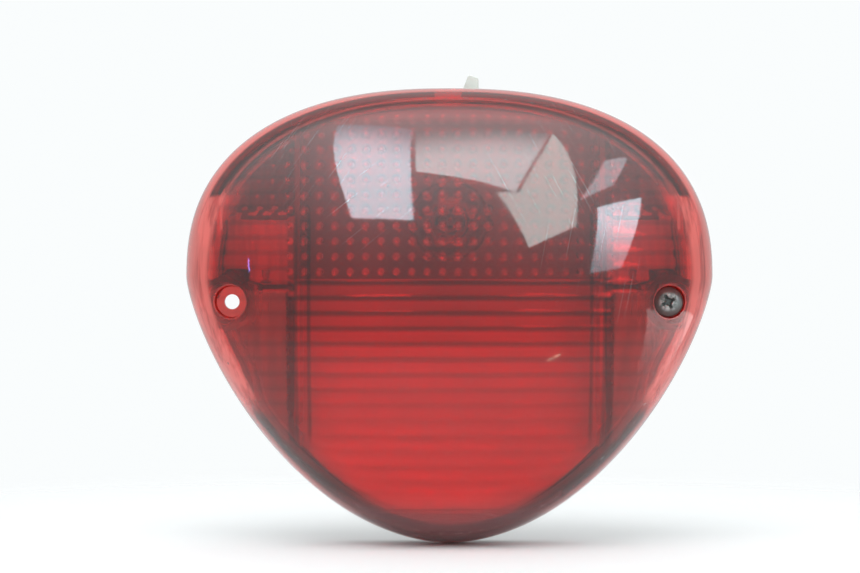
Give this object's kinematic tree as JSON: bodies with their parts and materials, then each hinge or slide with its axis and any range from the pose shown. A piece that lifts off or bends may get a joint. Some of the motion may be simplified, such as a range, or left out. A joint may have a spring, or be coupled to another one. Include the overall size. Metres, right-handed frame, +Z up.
{
  "type": "tail light",
  "caption": "Domed red rear lamp for a scooter: screw-fixed lens over a black housing, with reflector, bayonet bulb in a sprung socket and a connector header on the back.",
  "frame": {"origin": "centre of the round pad on the housing's rear face, level with the two lens screws", "axes": "+Z up as mounted on the vehicle, -Y out of the lens, +X to the right for someone facing the lens"},
  "size_m": [0.1658, 0.0859, 0.1484],
  "materials": {
    "lens_red": "clear red acrylic, polished, finely scratched",
    "screw_black": "black oxide, worn bright on the recess edges",
    "housing_black": "fine moulded grain",
    "seal_rubber": "closed-cell, matt",
    "reflector_silver": "vacuum-metallised satin",
    "clear_glass": "clear",
    "nickel_steel": "nickel plated",
    "brass": "bright",
    "tungsten": "drawn wire",
    "solder": "dull",
    "phenolic": "pressed paper laminate",
    "spring_steel": "drawn wire",
    "zinc_steel": "zinc plated",
    "nylon": "natural, slightly translucent",
    "wire_yellow": "extruded",
    "wire_green": "extruded",
    "wire_black": "extruded"
  },
  "bodies": {
    "housing": {"housing": "housing_black", "lens_seal": "seal_rubber", "reflector": "reflector_silver", "contact_spring": "spring_steel", "socket_shell": "zinc_steel", "socket_cap": "phenolic", "socket_rivet_left": "brass", "socket_rivet_right": "brass", "earth_tab": "brass", "connector_header": "nylon", "header_blade_tail": "brass", "header_blade_brake": "brass", "header_blade_earth": "brass", "wire_tail": "wire_yellow", "wire_brake": "wire_green", "wire_earth": "wire_black"},
    "lens": {"lens": "lens_red"},
    "screw_washer": {"screw_washer": "screw_black"},
    "lens_screw": {"lens_screw": "screw_black"},
    "contact_disc": {"contact_disc": "phenolic", "contact_tail": "brass", "contact_brake": "brass"},
    "bulb": {"bulb_glass": "clear_glass", "bulb_base": "nickel_steel", "bulb_stem": "clear_glass", "bayonet_pin_upper": "brass", "bayonet_pin_lower": "brass", "filament_brake": "tungsten", "support_brake_left": "nickel_steel", "support_brake_right": "nickel_steel", "filament_tail": "tungsten", "support_tail_left": "nickel_steel", "support_tail_right": "nickel_steel", "bulb_contact_tail": "solder", "bulb_contact_brake": "solder"}
  },
  "joints": [
    {"name": "lens_lift", "type": "slide", "parent": "housing", "child": "lens", "axis": [0, -1, 0], "range_m": [0, 0.06]},
    {"name": "screw_withdraw", "type": "slide", "parent": "lens", "child": "screw_washer", "axis": [0, -1, 0], "range_m": [0, 0.036]},
    {"name": "screw_turn", "type": "hinge", "parent": "screw_washer", "child": "lens_screw", "pos_m": [0.0672, -0.02, 0], "axis": [0, -1, 0], "range_deg": [0, 5400]},
    {"name": "bulb_push", "type": "slide", "parent": "housing", "child": "contact_disc", "axis": [0, 1, 0], "range_m": [0, 0.0025], "stiffness_N_per_m": 1500, "springref_m": -0.003, "deforming": ["contact_spring"]},
    {"name": "bulb_turn", "type": "hinge", "parent": "contact_disc", "child": "bulb", "pos_m": [0, 0, 0.025], "axis": [0, -1, 0], "range_deg": [0, 15]}
  ],
  "couplings": [
    {"joint": "screw_turn", "follows": "screw_withdraw", "rad_per_m": 2618}
  ]
}
